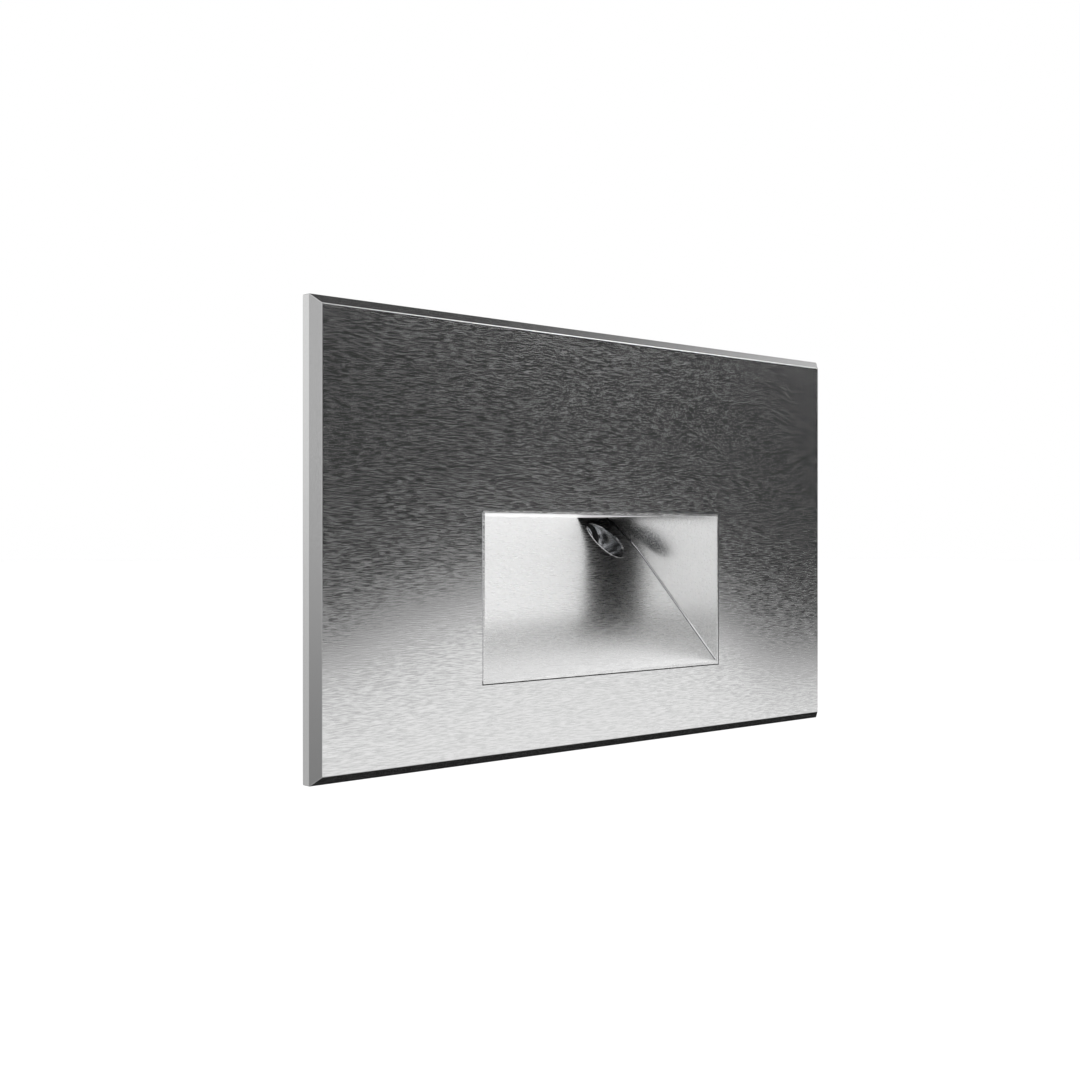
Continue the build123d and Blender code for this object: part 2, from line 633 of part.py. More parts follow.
def driver_case():
    """Open tray over the hopper, with stand-offs for its board and a ledge for the terminal block."""
    floor = CASE_BOTTOM + CASE_WALL
    case = upright(case_outline(), CASE_BOTTOM, CASE_TOP)
    case -= upright(case_outline(CASE_WALL), floor, CASE_TOP)
    for x, y in standoff_places():
        standoff = Pos(x, y) * Rectangle(STANDOFF_WIDTH, STANDOFF_WIDTH)
        case += upright(standoff, floor, floor + STANDOFF_HEIGHT)
    ledge_middle = CASE_LEFT + CASE_WIDTH + (LEDGE_WIDTH - CASE_WALL) / 2
    ledge_spot = Pos(ledge_middle, LEDGE_FRONT + LEDGE_DEPTH / 2)
    case += upright(ledge_spot * Rectangle(LEDGE_WIDTH + CASE_WALL, LEDGE_DEPTH), CASE_BOTTOM, floor)
    for place in CASE_SCREW_PLACES:
        case -= rod(SMALL_SCREW_RADIUS + SCREW_HOLE_CLEARANCE, CASE_BACK - CASE_WALL, CASE_BACK, place)
    return case


def standoff_places():
    """The four corners under the driver's board, as X and Y."""
    inset = CASE_WALL + DRIVER_BOARD_CLEARANCE + STANDOFF_WIDTH / 2
    across = CASE_WIDTH / 2 - inset
    along = CASE_DEPTH / 2 - inset
    middle = CASE_FRONT + CASE_DEPTH / 2
    return [(CASE_MIDDLE + i * across, middle + j * along) for i in (-1, 1) for j in (-1, 1)]


def driver_lid():
    """Flat lid with a lip that drops inside the tray."""
    lid = upright(case_outline(), CASE_TOP, CASE_TOP + LID_THICKNESS)
    outside = CASE_WALL + LID_CLEARANCE
    lip = case_outline(outside) - case_outline(outside + LID_LIP_WALL)
    return lid + upright(lip, CASE_TOP - LID_LIP, CASE_TOP)


def driver_board():
    """Circuit board on the tray's stand-offs."""
    outline = Pos(CASE_MIDDLE, CASE_FRONT + CASE_DEPTH / 2) * Rectangle(
        CASE_WIDTH - 2 * (CASE_WALL + DRIVER_BOARD_CLEARANCE),
        CASE_DEPTH - 2 * (CASE_WALL + DRIVER_BOARD_CLEARANCE),
    )
    return upright(outline, DRIVER_BOARD_TOP - DRIVER_BOARD_THICKNESS, DRIVER_BOARD_TOP)


def driver_inductor():
    """Shielded inductor with cut corners and a smaller cap, on the board."""
    spot = Pos(INDUCTOR_X, FRONT_ROW)
    outline = chamfer(Rectangle(INDUCTOR_WIDTH, INDUCTOR_WIDTH).vertices(), INDUCTOR_CORNER)
    top = DRIVER_BOARD_TOP + INDUCTOR_HEIGHT
    shield = upright(spot * outline, DRIVER_BOARD_TOP, top - INDUCTOR_CAP)
    cap = offset(outline, amount=-INDUCTOR_CAP, kind=Kind.INTERSECTION)
    return shield + upright(spot * cap, top - INDUCTOR_CAP, top)


def driver_capacitors():
    """Two round capacitors standing on the board."""
    cans = []
    for index in range(2):
        spot = Pos(CAPACITOR_X + index * CAPACITOR_PITCH, FRONT_ROW)
        can = upright(spot * Circle(CAPACITOR_RADIUS), DRIVER_BOARD_TOP, CASE_TOP - CAPACITOR_HEADROOM)
        cans.append(can)
    return group(cans)


def driver_chips():
    """Bridge rectifier and controller on the board."""
    rectifier = Pos(RECTIFIER_X, BACK_ROW) * Rectangle(RECTIFIER_WIDTH, RECTIFIER_DEPTH)
    controller = Pos(CONTROLLER_X, BACK_ROW) * Rectangle(CONTROLLER_WIDTH, CONTROLLER_DEPTH)
    return group([
        upright(rectifier, DRIVER_BOARD_TOP, DRIVER_BOARD_TOP + RECTIFIER_HEIGHT),
        upright(controller, DRIVER_BOARD_TOP, DRIVER_BOARD_TOP + CONTROLLER_HEIGHT),
    ])


def output_connector():
    """Two-way connector on the board for the emitter's leads."""
    spot = Pos(OUTPUT_X, BACK_ROW)
    top = DRIVER_BOARD_TOP + OUTPUT_HEIGHT
    outside = spot * Rectangle(OUTPUT_WIDTH, OUTPUT_DEPTH)
    inside = spot * Rectangle(OUTPUT_WIDTH - 2 * OUTPUT_WALL, OUTPUT_DEPTH - 2 * OUTPUT_WALL)
    return upright(outside, DRIVER_BOARD_TOP, top) - upright(inside, DRIVER_BOARD_TOP + OUTPUT_FLOOR, top)


def driver_screws():
    """Screws through the case's back wall into the housing."""
    seat = CASE_BACK - CASE_WALL
    tip = HOUSING_DEPTH - HOUSING_WALL / 2
    return group(small_screw(place, seat, tip) for place in CASE_SCREW_PLACES)


def terminal_block():
    """Two-pole block: a screw well at the front and a lead entry on top of each pole."""
    bottom = CASE_BOTTOM + CASE_WALL
    top = bottom + BLOCK_HEIGHT
    back = BLOCK_FRONT + BLOCK_DEPTH
    place = Pos(BLOCK_LEFT + BLOCK_WIDTH / 2, BLOCK_FRONT + BLOCK_DEPTH / 2)
    block = upright(place * Rectangle(BLOCK_WIDTH, BLOCK_DEPTH), bottom, top)
    block = chamfer(block.edges().filter_by(Axis.X).group_by(Axis.Z)[-1], BLOCK_BEVEL)
    middle = (bottom + top) / 2
    for x in POLE_CENTRES:
        block -= rod(SCREW_WELL_RADIUS, BLOCK_FRONT, BLOCK_FRONT + SCREW_WELL_DEPTH, (x, middle))
        hole = TERMINAL_SCREW_RADIUS + THREAD_CLEARANCE
        block -= rod(hole, BLOCK_FRONT, back - BLOCK_BACK_WALL, (x, middle))
        entry = Pos(x, BLOCK_FRONT + BLOCK_DEPTH / 2) * Rectangle(ENTRY_WIDTH, ENTRY_WIDTH)
        block -= upright(entry, top - ENTRY_DEPTH, top)
    for x in POLE_CENTRES[1:]:
        groove = Pos(x - POLE_PITCH / 2, BLOCK_FRONT) * Rectangle(POLE_GROOVE_WIDTH, 2 * POLE_GROOVE_DEPTH)
        block -= upright(groove, bottom, top)
    return block


def terminal_screws():
    """Clamping screws, one in each pole."""
    middle = CASE_BOTTOM + CASE_WALL + BLOCK_HEIGHT / 2
    crown = BLOCK_FRONT + SCREW_WELL_DEPTH - TERMINAL_SCREW_HEAD_HEIGHT
    screws = []
    for x in POLE_CENTRES:
        screw = rod(TERMINAL_SCREW_HEAD_RADIUS, crown, crown + TERMINAL_SCREW_HEAD_HEIGHT, (x, middle))
        screw += rod(TERMINAL_SCREW_RADIUS, crown, crown + TERMINAL_SCREW_LENGTH, (x, middle))
        slot = Pos(x, middle) * Rectangle(2 * TERMINAL_SCREW_HEAD_RADIUS, TERMINAL_SCREW_SLOT)
        screws.append(screw - slab(slot, crown, crown + TERMINAL_SCREW_SLOT))
    return group(screws)


def cable_grommet():
    """Rubber ring in the supply hole, with a lip on each side of the wall."""
    front = HOUSING_INSIDE - GROMMET_LIP
    back = HOUSING_DEPTH + GROMMET_LIP
    return turned(
        [
            (INLET_RADIUS, front),
            (GROMMET_LIP_RADIUS, front),
            (GROMMET_LIP_RADIUS, HOUSING_INSIDE),
            (GROMMET_NECK_RADIUS, HOUSING_INSIDE),
            (GROMMET_NECK_RADIUS, HOUSING_DEPTH),
            (GROMMET_LIP_RADIUS, HOUSING_DEPTH),
            (GROMMET_LIP_RADIUS, back),
            (INLET_RADIUS, back),
        ],
        (INLET_X, INLET_Z),
    )


def earth_screw():
    """Hexagon-head screw with a captive washer for the earth lead."""
    place = (EARTH_X, EARTH_Z)
    washer_back = HOUSING_DEPTH + EARTH_WASHER_THICKNESS
    head = Pos(*place) * RegularPolygon(EARTH_HEAD_WIDTH / 2, 6, major_radius=False)
    screw = rod(EARTH_WASHER_RADIUS, HOUSING_DEPTH, washer_back, place)
    screw += slab(head, washer_back, washer_back + EARTH_HEAD_HEIGHT)
    return screw + rod(EARTH_SCREW_RADIUS, HOUSING_INSIDE - HOUSING_WALL, HOUSING_DEPTH, place)


NODES = {
    "faceplate": faceplate,
    "mounting_strap": mounting_strap,
    "plate_magnets": plate_magnets,
    "wall_gasket": wall_gasket,
    "optic_insert": optic_insert,
    "glare_shade": glare_shade,
    "housing_seal": housing_seal,
    "rear_housing": rear_housing,
    "housing_screws": housing_screws,
    "optic_barrel": optic_barrel,
    "lens_holder": lens_holder,
    "lens_seal": lens_seal,
    "lens_bezel": lens_bezel,
    "lens": lens,
    "led_package": led_package,
    "led_board": led_board,
    "led_connector": led_connector,
    "thermal_pad": thermal_pad,
    "board_screws": board_screws,
    "driver_case": driver_case,
    "driver_lid": driver_lid,
    "driver_board": driver_board,
    "driver_inductor": driver_inductor,
    "driver_capacitors": driver_capacitors,
    "driver_chips": driver_chips,
    "output_connector": output_connector,
    "driver_screws": driver_screws,
    "terminal_block": terminal_block,
    "terminal_screws": terminal_screws,
    "cable_grommet": cable_grommet,
    "earth_screw": earth_screw,
}


def main():
    os.makedirs("parts", exist_ok=True)
    for name, make in NODES.items():
        export_step(make(), f"parts/{name}.step")


main()
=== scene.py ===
import logging
import math
from dataclasses import dataclass
from enum import Enum

import bmesh
import bpy
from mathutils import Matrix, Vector


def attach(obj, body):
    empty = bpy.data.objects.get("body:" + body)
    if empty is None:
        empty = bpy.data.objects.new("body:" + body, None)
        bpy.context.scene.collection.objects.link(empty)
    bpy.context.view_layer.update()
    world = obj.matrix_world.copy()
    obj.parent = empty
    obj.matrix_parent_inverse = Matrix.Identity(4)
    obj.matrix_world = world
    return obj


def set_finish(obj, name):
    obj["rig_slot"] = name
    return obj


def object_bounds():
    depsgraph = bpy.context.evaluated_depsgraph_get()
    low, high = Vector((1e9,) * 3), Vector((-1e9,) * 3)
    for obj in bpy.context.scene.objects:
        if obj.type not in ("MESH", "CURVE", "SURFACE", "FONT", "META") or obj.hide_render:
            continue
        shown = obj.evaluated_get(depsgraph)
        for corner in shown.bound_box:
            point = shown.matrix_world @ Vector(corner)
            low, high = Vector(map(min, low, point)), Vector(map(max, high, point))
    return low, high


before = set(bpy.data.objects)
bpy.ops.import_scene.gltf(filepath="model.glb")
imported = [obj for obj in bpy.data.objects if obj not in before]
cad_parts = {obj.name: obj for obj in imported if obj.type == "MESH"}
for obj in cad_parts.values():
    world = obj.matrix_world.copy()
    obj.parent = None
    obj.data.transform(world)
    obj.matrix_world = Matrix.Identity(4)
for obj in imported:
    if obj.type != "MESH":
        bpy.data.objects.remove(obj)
cad_box = [list(corner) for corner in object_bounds()]

LOG = logging.getLogger("step_light")

MM = 0.001
WALL_UNIT = "wall_unit"

Colour = tuple[float, float, float]
Range = tuple[float, float]
Socket = bpy.types.NodeSocket
Feed = Socket | float | Colour

DUST_COLOUR = (0.5, 0.49, 0.47)
BLACK = (0.0, 0.0, 0.0)
WHITE = (1.0, 1.0, 1.0)


class Ray(Enum):
    """What a ray that meets the surroundings is for."""

    CAMERA = "Is Camera Ray"
    GLOSSY = "Is Glossy Ray"
    TRANSMISSION = "Is Transmission Ray"


class Wiring:
    """Adds nodes to one shader tree and joins their sockets."""

    def __init__(self, tree: bpy.types.NodeTree) -> None:
        """Work on one tree.

        Args:
            tree: the material's, world's or group's node tree.
        """
        self.tree = tree

    def node(
        self, kind: str, feeds: dict[str | int, Feed] | None = None, **settings: object
    ) -> bpy.types.Node:
        """Add a node.

        Args:
            kind: the node's type.
            feeds: a value or a socket for each input that isn't left as it is.
            settings: the node's own properties.

        Returns:
            The new node.
        """
        node = self.tree.nodes.new(kind)
        for name, setting in settings.items():
            setattr(node, name, setting)
        for name, feed in (feeds or {}).items():
            self.feed(node, name, feed)
        return node

    def feed(self, node: bpy.types.Node, name: str | int, feed: Feed) -> None:
        """Set one input, from a socket or to a value.

        Args:
            node: the node that is fed.
            name: the input's name or number.
            feed: the socket that drives it, or its value.
        """
        target = node.inputs[name]
        if isinstance(feed, bpy.types.NodeSocket):
            self.tree.links.new(feed, target)
        elif target.type == "RGBA":
            target.default_value = (*feed, 1.0)
        else:
            target.default_value = feed

    def calc(self, operation: str, first: Feed, second: Feed = 0.0) -> Socket:
        """Join two values by arithmetic and return the answer's socket."""
        return self.node("ShaderNodeMath", {0: first, 1: second}, operation=operation).outputs[0]

    def times(self, first: Feed, second: Feed) -> Socket:
        """Multiply two values and return the answer's socket."""
        return self.calc("MULTIPLY", first, second)

    def limit(self, value: Feed, least: float, most: float) -> Socket:
        """Hold a value between two others and return its socket."""
        return self.calc("MAXIMUM", self.calc("MINIMUM", value, most), least)

    def slide(self, value: Feed, low: float, high: float, start: Feed = 0.0, end: Feed = 1.0) -> Socket:
        """Turn a value smoothly from start, below low, to end, above high, and return its socket."""
        feeds = {0: value, 1: low, 2: high, 3: start, 4: end}
        return self.node("ShaderNodeMapRange", feeds, interpolation_type="SMOOTHSTEP").outputs[0]

    def mix(self, share: Feed, first: Feed, second: Feed) -> Socket:
        """Mix two values by a share of the second and return the result's socket."""
        return self.node("ShaderNodeMix", {0: share, 2: first, 3: second}, data_type="FLOAT").outputs[0]

    def blend(self, share: Feed, first: Feed, second: Feed) -> Socket:
        """Mix two colours by a share of the second and return the result's socket."""
        return self.node("ShaderNodeMix", {0: share, 6: first, 7: second}, data_type="RGBA").outputs[2]

    def place(self) -> Socket:
        """The point on the object, in metres."""
        return self.node("ShaderNodeTexCoord").outputs["Object"]

    def apart(self, vector: Socket) -> tuple[Socket, Socket, Socket]:
        """Split a vector into its three numbers."""
        parts = self.node("ShaderNodeSeparateXYZ", {0: vector}).outputs
        return parts[0], parts[1], parts[2]

    def stretched(self, vector: Socket, x: Feed, y: Feed, z: Feed) -> Socket:
        """Multiply a vector's three numbers by three others."""
        scale = self.node("ShaderNodeCombineXYZ", {0: x, 1: y, 2: z}).outputs[0]
        return self.node("ShaderNodeVectorMath", {0: vector, 1: scale}, operation="MULTIPLY").outputs[0]


class Effects:
    """Shader node groups that several finishes share, each built once."""

    line_contrast: Range = (0.36, 0.64)     # the noise values that give the two ends of a tone
    grain_contrast: Range = (0.3, 0.7)
    patch_stretch: tuple[float, float, float] = (0.35, 0.16, 0.16)      # against the brush lines
    patch_share: float = 0.06
    pit_share: float = 0.35
    cloud_scale: float = 0.12
    # the mask of worn outer edges, which also carry a painted highlight
    worn_and_highlit_contrast: Range = (0.004, 0.08)
    worn_and_highlit_scale: float = 900.0
    dust_slopes: Range = (0.2, 1.0)         # the upward parts of a normal where dust starts and is full
    dust_contrast: Range = (0.35, 0.7)
    dust_scale: float = 260.0

    def __init__(self) -> None:
        """Start with none built."""
        self.built: dict[str, bpy.types.NodeTree] = {}

    def group(
        self, name: str, inputs: dict[str, float], outputs: tuple[str, ...]
    ) -> tuple[Wiring, dict[str, Socket]]:
        """Make an empty group with its named sockets.

        Args:
            name: the group's name.
            inputs: each input's name and usual value.
            outputs: the outputs' names.

        Returns:
            Its wiring, and the sockets inside it that carry the inputs.
        """
        tree = bpy.data.node_groups.new(name, "ShaderNodeTree")
        self.built[name] = tree
        for socket, usual in inputs.items():
            made = tree.interface.new_socket(name=socket, in_out="INPUT", socket_type="NodeSocketFloat")
            made.default_value = usual
        for socket in outputs:
            tree.interface.new_socket(name=socket, in_out="OUTPUT", socket_type="NodeSocketFloat")
        wiring = Wiring(tree)
        carried = wiring.node("NodeGroupInput").outputs
        return wiring, {socket: carried[socket] for socket in inputs}

    def close(self, wiring: Wiring, results: dict[str, Socket]) -> bpy.types.NodeTree:
        """Join a group's results to its outputs and return the group."""
        wiring.node("NodeGroupOutput", results)
        return wiring.tree

    def brush_lines(self) -> bpy.types.NodeTree:
        """Lines that an abrasive belt leaves along X: a tone and a height, both about 0.5.

        Returns:
            The group.
        """
        if "brush_lines" in self.built:
            return self.built["brush_lines"]
        wiring, given = self.group("brush_lines", {"Length": 0.0025, "Width": 0.0002}, ("Tone", "Height"))
        along = wiring.calc("DIVIDE", 1.0, given["Length"])
        across = wiring.calc("DIVIDE", 1.0, given["Width"])
        point = wiring.stretched(wiring.place(), along, across, across)
        line = {"Vector": point, "Scale": 1.0, "Detail": 3.0, "Roughness": 0.55}
        lines = wiring.node("ShaderNodeTexNoise", line).outputs[0]
        broad = wiring.stretched(point, *self.patch_stretch)
        patch = wiring.node("ShaderNodeTexNoise", {"Vector": broad, "Scale": 1.0, "Detail": 2.0}).outputs[0]
        tone = wiring.slide(wiring.mix(self.patch_share, lines, patch), *self.line_contrast)
        return self.close(wiring, {"Tone": tone, "Height": lines})

    def surface_grain(self) -> bpy.types.NodeTree:
        """Fine all-over grain of a moulded or cast skin: a tone and a height.

        Returns:
            The group.
        """
        if "surface_grain" in self.built:
            return self.built["surface_grain"]
        wiring, given = self.group("surface_grain", {"Size": 0.0005}, ("Tone", "Height"))
        across = wiring.calc("DIVIDE", 1.0, given["Size"])
        point = wiring.stretched(wiring.place(), across, across, across)
        pit = {"Vector": point, "Scale": 1.0}
        pits = wiring.node("ShaderNodeTexVoronoi", pit, feature="SMOOTH_F1").outputs[0]
        cloud = {"Vector": point, "Scale": self.cloud_scale, "Detail": 4.0}
        clouds = wiring.node("ShaderNodeTexNoise", cloud).outputs[0]
        tone = wiring.slide(wiring.mix(self.pit_share, clouds, pits), *self.grain_contrast)
        return self.close(wiring, {"Tone": tone, "Height": pits})

    def edge_wear_and_highlight(self) -> bpy.types.NodeTree:
        """Where an outer edge is worn and lightened as a painted highlight: 1 on the edge and 0 on the flats.

        Returns:
            The group.
        """
        if "edge_wear_and_highlight" in self.built:
            return self.built["edge_wear_and_highlight"]
        wiring, given = self.group("edge_wear_and_highlight", {"Radius": 0.0004}, ("Mask",))
        rounded = wiring.node("ShaderNodeBevel", {"Radius": given["Radius"]}, samples=4).outputs[0]
        flat = wiring.node("ShaderNodeNewGeometry").outputs["Normal"]
        feeds = {0: rounded, 1: flat}
        alike = wiring.node("ShaderNodeVectorMath", feeds, operation="DOT_PRODUCT").outputs["Value"]
        turn = wiring.calc("SUBTRACT", 1.0, alike)
        noise = {"Vector": wiring.place(), "Scale": self.worn_and_highlit_scale}
        rub = wiring.node("ShaderNodeTexNoise", noise).outputs[0]
        mask = wiring.slide(wiring.times(turn, rub), *self.worn_and_highlit_contrast)
        return self.close(wiring, {"Mask": mask})

    def settled_dust(self) -> bpy.types.NodeTree:
        """Pale dust on what faces up, in soft patches.

        Returns:
            The group.
        """
        if "settled_dust" in self.built:
            return self.built["settled_dust"]
        wiring, given = self.group("settled_dust", {"Amount": 0.1}, ("Mask",))
        up = wiring.apart(wiring.node("ShaderNodeNewGeometry").outputs["Normal"])[2]
        cloud = {"Vector": wiring.place(), "Scale": self.dust_scale, "Detail": 5.0}
        clouds = wiring.node("ShaderNodeTexNoise", cloud).outputs[0]
        mask = wiring.times(wiring.slide(up, *self.dust_slopes), wiring.slide(clouds, *self.dust_contrast))
        return self.close(wiring, {"Mask": wiring.times(mask, given["Amount"])})


@dataclass(frozen=True)
class Finish:
    """A surface of one stuff: two close tones, a spread of roughness and a relief."""

    colour: Colour
    shade: Colour
    roughness: float
    spread: float = 0.05
    relief: float = 0.00001
    metallic: float = 0.0
    grain: float = 0.0005
    # how much outer edges are lightened, as worn metal and as a painted highlight
    wear_and_highlight: float = 0.0
    dust: float = 0.0

    def pattern(self, wiring: Wiring, effects: Effects) -> tuple[Socket, Socket]:
        """The tone, from 0 for shade to 1 for colour, and the height.

        Args:
            wiring: the material's wiring.
            effects: the shared groups.

        Returns:
            The tone's socket and the height's socket.
        """
        grain = wiring.node("ShaderNodeGroup", node_tree=effects.surface_grain())
        grain.inputs["Size"].default_value = self.grain
        return grain.outputs["Tone"], grain.outputs["Height"]

    def gloss(self, wiring: Wiring, shader: bpy.types.Node) -> None:
        """Set what else this finish asks of the shader: nothing here."""

    def material(self, name: str, effects: Effects) -> bpy.types.Material:
        """Build the finish as a material.

        Args:
            name: the material's name.
            effects: the shared groups.

        Returns:
            The material.
        """
        made = bpy.data.materials.new(name)
        made.use_nodes = True
        wiring = Wiring(made.node_tree)
        shader = made.node_tree.nodes["Principled BSDF"]
        tone, height = self.pattern(wiring, effects)
        colour = wiring.blend(tone, self.shade, self.colour)
        # lighter outer edges: partly worn metal, partly a painted edge highlight
        if self.wear_and_highlight:
            worn_and_highlit_mask = wiring.node("ShaderNodeGroup", node_tree=effects.edge_wear_and_highlight()).outputs["Mask"]
            worn_and_highlit_colour = tuple(min(1.0, part * (1.0 + self.wear_and_highlight)) for part in self.colour)
            colour = wiring.blend(worn_and_highlit_mask, colour, worn_and_highlit_colour)
        if self.dust:
            settled = wiring.node("ShaderNodeGroup", {"Amount": self.dust}, node_tree=effects.settled_dust())
            colour = wiring.blend(settled.outputs["Mask"], colour, DUST_COLOUR)
        wiring.feed(shader, "Base Color", colour)
        rougher, smoother = self.roughness + self.spread, self.roughness - self.spread
        wiring.feed(shader, "Roughness", wiring.slide(tone, 0.0, 1.0, rougher, smoother))
        shader.inputs["Metallic"].default_value = self.metallic
        bump = wiring.node("ShaderNodeBump", {"Height": height, "Distance": self.relief, "Strength": 1.0})
        wiring.feed(shader, "Normal", bump.outputs[0])
        self.gloss(wiring, shader)
        return made


@dataclass(frozen=True)
class BrushedMetal(Finish):
    """Sheet metal brushed along its length, so that highlights spread across the lines."""

    metallic: float = 1.0
    length: float = 0.0025
    width: float = 0.0002
    anisotropy: float = 0.8
    across: tuple[float, float, float] = (0.0, 0.0, 1.0)

    def pattern(self, wiring: Wiring, effects: Effects) -> tuple[Socket, Socket]:
        """The brush lines' tone and height.

        Args:
            wiring: the material's wiring.
            effects: the shared groups.

        Returns:
            The tone's socket and the height's socket.
        """
        lines = wiring.node("ShaderNodeGroup", node_tree=effects.brush_lines())
        lines.inputs["Length"].default_value = self.length
        lines.inputs["Width"].default_value = self.width
        return lines.outputs["Tone"], lines.outputs["Height"]

    def gloss(self, wiring: Wiring, shader: bpy.types.Node) -> None:
        """Spread the highlight across the lines.

        Args:
            wiring: the material's wiring.
            shader: its shader.
        """
        shader.inputs["Anisotropic"].default_value = self.anisotropy
        tangent = wiring.node("ShaderNodeCombineXYZ", dict(enumerate(self.across)))
        wiring.feed(shader, "Tangent", tangent.outputs[0])


@dataclass(frozen=True)
class ReflectorSteel(BrushedMetal):
    """Satin sheet with a white coat on the underside of its ceiling, which is made to emit light: painted
    light, for the coat is no lamp.
    """

    anisotropy: float = 0.0
    # the coat's colour, which its painted emission also takes
    coat: Colour = (0.95, 0.95, 0.95)
    coat_front: float = 0.0035
    coat_bottom: float = 0.0045
    coat_fade: float = 0.0004
    facing: float = -0.5        # the vertical part of a normal below which a face looks down
    # strength of the coat's emission: painted light, not a lamp
    painted_glow: float = 0.42

    def gloss(self, wiring: Wiring, shader: bpy.types.Node) -> None:
        """Lay the white coat over the metal and make it emit light: painted light, for the coat is no lamp.

        Args:
            wiring: the material's wiring.
            shader: its shader.
        """
        super().gloss(wiring, shader)
        _, y, z = wiring.apart(wiring.place())
        facing = wiring.apart(wiring.node("ShaderNodeNewGeometry").outputs["Normal"])[2]
        inward = wiring.slide(y, self.coat_front - self.coat_fade, self.coat_front + self.coat_fade)
        above = wiring.calc("GREATER_THAN", z, self.coat_bottom)
        under = wiring.calc("LESS_THAN", facing, self.facing)
        coat_and_painted_glow = wiring.times(wiring.times(inward, above), under)
        metal = shader.inputs["Base Color"].links[0].from_socket
        wiring.feed(shader, "Base Color", wiring.blend(coat_and_painted_glow, metal, self.coat))
        wiring.feed(shader, "Metallic", wiring.calc("SUBTRACT", 1.0, coat_and_painted_glow))
        # painted light: the coated ceiling emits its own colour, though it is no lamp
        wiring.feed(shader, "Emission Color", wiring.blend(coat_and_painted_glow, BLACK, self.coat))
        shader.inputs["Emission Strength"].default_value = self.painted_glow


@dataclass(frozen=True)
class TurnedMetal(Finish):
    """Metal turned on a lathe, with rings across the light bore's axis."""

    metallic: float = 1.0
    pitch: float = 0.00012
    wobble: float = 5.0
    wobble_scale: float = 700.0

    def pattern(self, wiring: Wiring, effects: Effects) -> tuple[Socket, Socket]:
        """The turned rings' tone and height.

        Args:
            wiring: the material's wiring.
            effects: the shared groups.

        Returns:
            The tone's socket and the height's socket.
        """
        y = wiring.apart(wiring.place())[1]
        noise = {"Vector": wiring.place(), "Scale": self.wobble_scale}
        wobble = wiring.times(wiring.node("ShaderNodeTexNoise", noise).outputs[0], self.wobble)
        turns = wiring.times(y, 2.0 * math.pi / self.pitch)
        wave = wiring.calc("SINE", wiring.calc("ADD", turns, wobble))
        height = wiring.calc("MULTIPLY_ADD", wave, 0.5)
        return wiring.slide(wave, -1.0, 1.0), height


@dataclass(frozen=True)
class PlatedMetal(Finish):
    """Zinc or nickel plating: clouded patches with fine scratches that run every way."""

    metallic: float = 1.0
    patch: float = 0.004
    scratch: tuple[float, float, float] = (300.0, 4000.0, 2600.0)
    scratch_share: float = 0.4
    contrast: Range = (0.35, 0.65)

    def pattern(self, wiring: Wiring, effects: Effects) -> tuple[Socket, Socket]:
        """The plating's clouds and scratches.

        Args:
            wiring: the material's wiring.
            effects: the shared groups.

        Returns:
            The tone's socket and the height's socket.
        """
        point = wiring.place()
        cloud = {"Vector": point, "Scale": 1.0 / self.patch, "Detail": 4.0, "Distortion": 0.6}
        clouds = wiring.node("ShaderNodeTexNoise", cloud).outputs[0]
        scratch = {"Vector": wiring.stretched(point, *self.scratch), "Scale": 1.0, "Detail": 2.0}
        scratches = wiring.node("ShaderNodeTexNoise", scratch).outputs[0]
        return wiring.slide(wiring.mix(self.scratch_share, clouds, scratches), *self.contrast), scratches


@dataclass(frozen=True)
class Foam(Finish):
    """Closed-cell foam: round pits of mixed sizes."""

    contrast: Range = (0.1, 0.6)

    def pattern(self, wiring: Wiring, effects: Effects) -> tuple[Socket, Socket]:
        """The cells' tone and height.

        Args:
            wiring: the material's wiring.
            effects: the shared groups.

        Returns:
            The tone's socket and the height's socket.
        """
        cell = {"Vector": wiring.place(), "Scale": 1.0 / self.grain, "Randomness": 1.0}
        cells = wiring.node("ShaderNodeTexVoronoi", cell, feature="F1").outputs[0]
        return wiring.slide(cells, *self.contrast), cells


@dataclass(frozen=True)
class BoardMask(Finish):
    """Solder mask over copper tracks that run square to each other."""

    track: float = 0.0016

    def pattern(self, wiring: Wiring, effects: Effects) -> tuple[Socket, Socket]:
        """The tracks under the mask.

        Args:
            wiring: the material's wiring.
            effects: the shared groups.

        Returns:
            The tone's socket and the height's socket.
        """
        brick = {"Vector": wiring.place(), "Scale": 1.0 / self.track, "Mortar Size": 0.12, "Bias": -0.2}
        tracks = wiring.node("ShaderNodeTexBrick", brick, offset=0.35, squash=1.7).outputs["Fac"]
        return wiring.calc("SUBTRACT", 1.0, tracks), tracks


@dataclass(frozen=True)
class ClearOptic(Finish):
    """Clear moulded optic."""

    index: float = 1.49

    def gloss(self, wiring: Wiring, shader: bpy.types.Node) -> None:
        """Let light through."""
        shader.inputs["Transmission Weight"].default_value = 1.0
        shader.inputs["IOR"].default_value = self.index


PLATE_STEEL = BrushedMetal(
    (0.67, 0.67, 0.67), (0.62, 0.62, 0.62), 0.115, 0.05, 0.000003, length=0.0021, width=0.00011
)
HOPPER_STEEL = ReflectorSteel(
    (0.9, 0.9, 0.9), (0.86, 0.86, 0.86), 0.25, 0.04, 0.000003, length=0.0022, width=0.00015
)
ZINC_SHEET = PlatedMetal((0.7, 0.71, 0.73), (0.55, 0.56, 0.57), 0.32, 0.06, 0.000002)
ZINC_SCREW = PlatedMetal((0.72, 0.72, 0.73), (0.56, 0.56, 0.57), 0.28, 0.05, 0.000001, patch=0.0012)
NICKEL = PlatedMetal((0.8, 0.78, 0.76), (0.68, 0.66, 0.64), 0.2, 0.04, 0.000001, patch=0.002)
